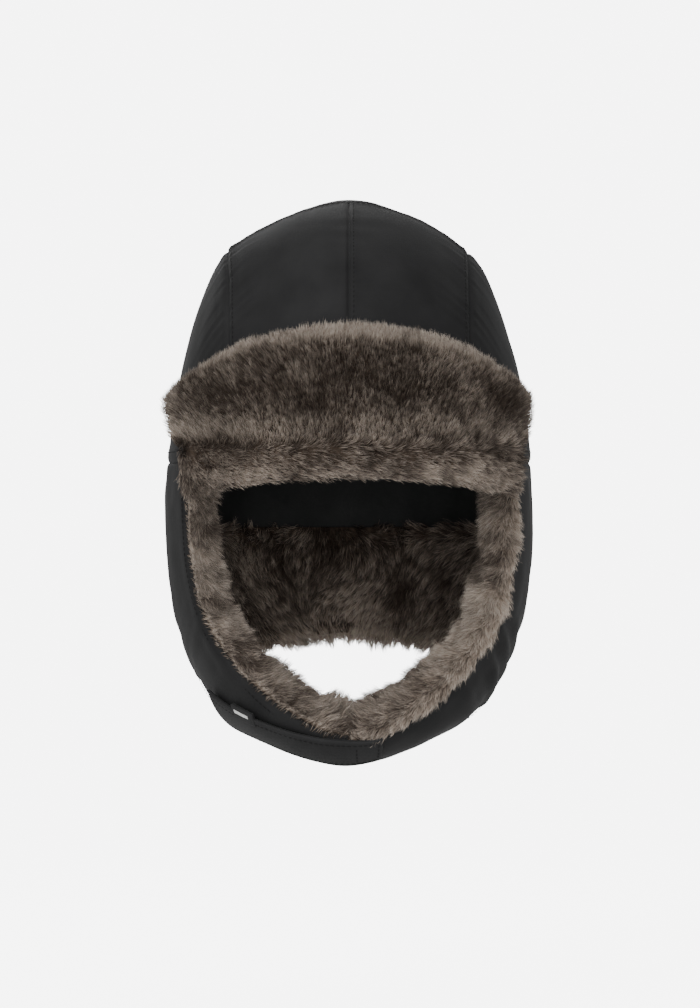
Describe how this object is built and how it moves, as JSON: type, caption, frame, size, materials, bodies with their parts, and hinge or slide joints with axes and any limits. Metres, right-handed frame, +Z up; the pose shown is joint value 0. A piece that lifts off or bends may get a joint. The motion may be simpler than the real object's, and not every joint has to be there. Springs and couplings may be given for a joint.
{
  "type": "trapper hat",
  "caption": "Padded nylon winter hat with pile-lined ear flaps joined under the chin by a strap, a pile neck flap and a turned-up pile front flap.",
  "frame": {"origin": "middle of the head band, level with the seam between crown and flaps", "axes": "+Z up, the front of the hat faces -Y, the wearer's left is +X"},
  "size_m": [0.2082, 0.2433, 0.3106],
  "materials": {
    "nylon": "matt woven nylon",
    "flap_backing": "matt woven nylon",
    "pile": "long frosted faux fur",
    "wadding": "bonded polyester wadding",
    "lining": "quilted woven lining",
    "sweatband": "brushed band",
    "strap": "woven strap",
    "hook_tape": "hook tape",
    "loop_tape": "loop tape"
  },
  "bodies": {
    "crown": {"crown_front_panel_left": "nylon", "crown_front_panel_right": "nylon", "crown_lining": "lining", "crown_side_panel_left": "nylon", "crown_side_panel_right": "nylon", "crown_top_panel": "nylon", "crown_wadding": "wadding", "neck_flap_fur": "pile", "neck_flap_shell": "nylon", "neck_flap_wadding": "wadding", "sweatband": "sweatband"},
    "front_flap": {"front_flap_backing": "flap_backing", "front_flap_fur": "pile", "front_flap_wadding": "wadding"},
    "front_wing_left": {"front_wing_left_backing": "flap_backing", "front_wing_left_fur": "pile", "front_wing_left_wadding": "wadding"},
    "front_wing_right": {"front_wing_right_backing": "flap_backing", "front_wing_right_fur": "pile", "front_wing_right_wadding": "wadding"},
    "ear_flap_left": {"ear_flap_left_fur": "pile", "ear_flap_left_shell": "nylon", "ear_flap_left_wadding": "wadding"},
    "ear_flap_right": {"ear_flap_right_fur": "pile", "ear_flap_right_shell": "nylon", "ear_flap_right_wadding": "wadding"},
    "chin_part_left": {"chin_part_left_fur": "pile", "chin_part_left_shell": "nylon", "chin_part_left_wadding": "wadding"},
    "chin_part_right": {"chin_part_right_fur": "pile", "chin_part_right_shell": "nylon", "chin_part_right_wadding": "wadding", "loop_patch": "loop_tape"},
    "chin_strap": {"chin_strap": "strap", "hook_patch": "hook_tape", "strap_tab": "strap"}
  },
  "joints": [
    {"name": "front_flap_fold", "type": "hinge", "parent": "crown", "child": "front_flap", "pos_m": [0, -0.108, -0.012], "axis": [1, 0, 0], "range_deg": [0, 170], "deforming": ["front_flap_fur", "front_flap_wadding"]},
    {"name": "front_wing_left_fold", "type": "hinge", "parent": "crown", "child": "front_wing_left", "pos_m": [0.0683, -0.0822, -0.012], "axis": [0.6909, 0.723, 0], "range_deg": [0, 170], "deforming": ["front_wing_left_fur", "front_wing_left_wadding"]},
    {"name": "front_wing_right_fold", "type": "hinge", "parent": "crown", "child": "front_wing_right", "pos_m": [-0.0683, -0.0822, -0.012], "axis": [0.6909, -0.723, 0], "range_deg": [0, 170], "deforming": ["front_wing_right_fur", "front_wing_right_wadding"]},
    {"name": "ear_flap_left_fold", "type": "hinge", "parent": "crown", "child": "ear_flap_left", "pos_m": [0.103, 0, 0], "axis": [0, -1, 0], "range_deg": [0, 190], "deforming": ["ear_flap_left_fur", "ear_flap_left_wadding"]},
    {"name": "ear_flap_right_fold", "type": "hinge", "parent": "crown", "child": "ear_flap_right", "pos_m": [-0.103, 0, 0], "axis": [0, 1, 0], "range_deg": [0, 190], "deforming": ["ear_flap_right_fur", "ear_flap_right_wadding"]},
    {"name": "chin_part_left_bend", "type": "hinge", "parent": "ear_flap_left", "child": "chin_part_left", "pos_m": [0.0873, 0, -0.1132], "axis": [0, -1, 0], "range_deg": [0, 104.5], "deforming": ["chin_part_left_fur", "chin_part_left_wadding"]},
    {"name": "chin_part_right_bend", "type": "hinge", "parent": "ear_flap_right", "child": "chin_part_right", "pos_m": [-0.0873, 0, -0.1132], "axis": [0, 1, 0], "range_deg": [0, 104.5], "deforming": ["chin_part_right_fur", "chin_part_right_wadding"]},
    {"name": "chin_strap_peel", "type": "hinge", "parent": "chin_part_left", "child": "chin_strap", "pos_m": [0.0155, -0.0832, -0.1565], "axis": [-0.112, -0.8209, 0.5599], "range_deg": [0, 110], "deforming": ["chin_strap", "hook_patch", "strap_tab"]}
  ],
  "couplings": [
    {"joint": "front_wing_left_fold", "follows": "front_flap_fold", "ratio": 1},
    {"joint": "front_wing_right_fold", "follows": "front_flap_fold", "ratio": 1},
    {"joint": "chin_part_left_bend", "follows": "ear_flap_left_fold", "ratio": 0.55},
    {"joint": "chin_part_right_bend", "follows": "ear_flap_right_fold", "ratio": 0.55}
  ]
}
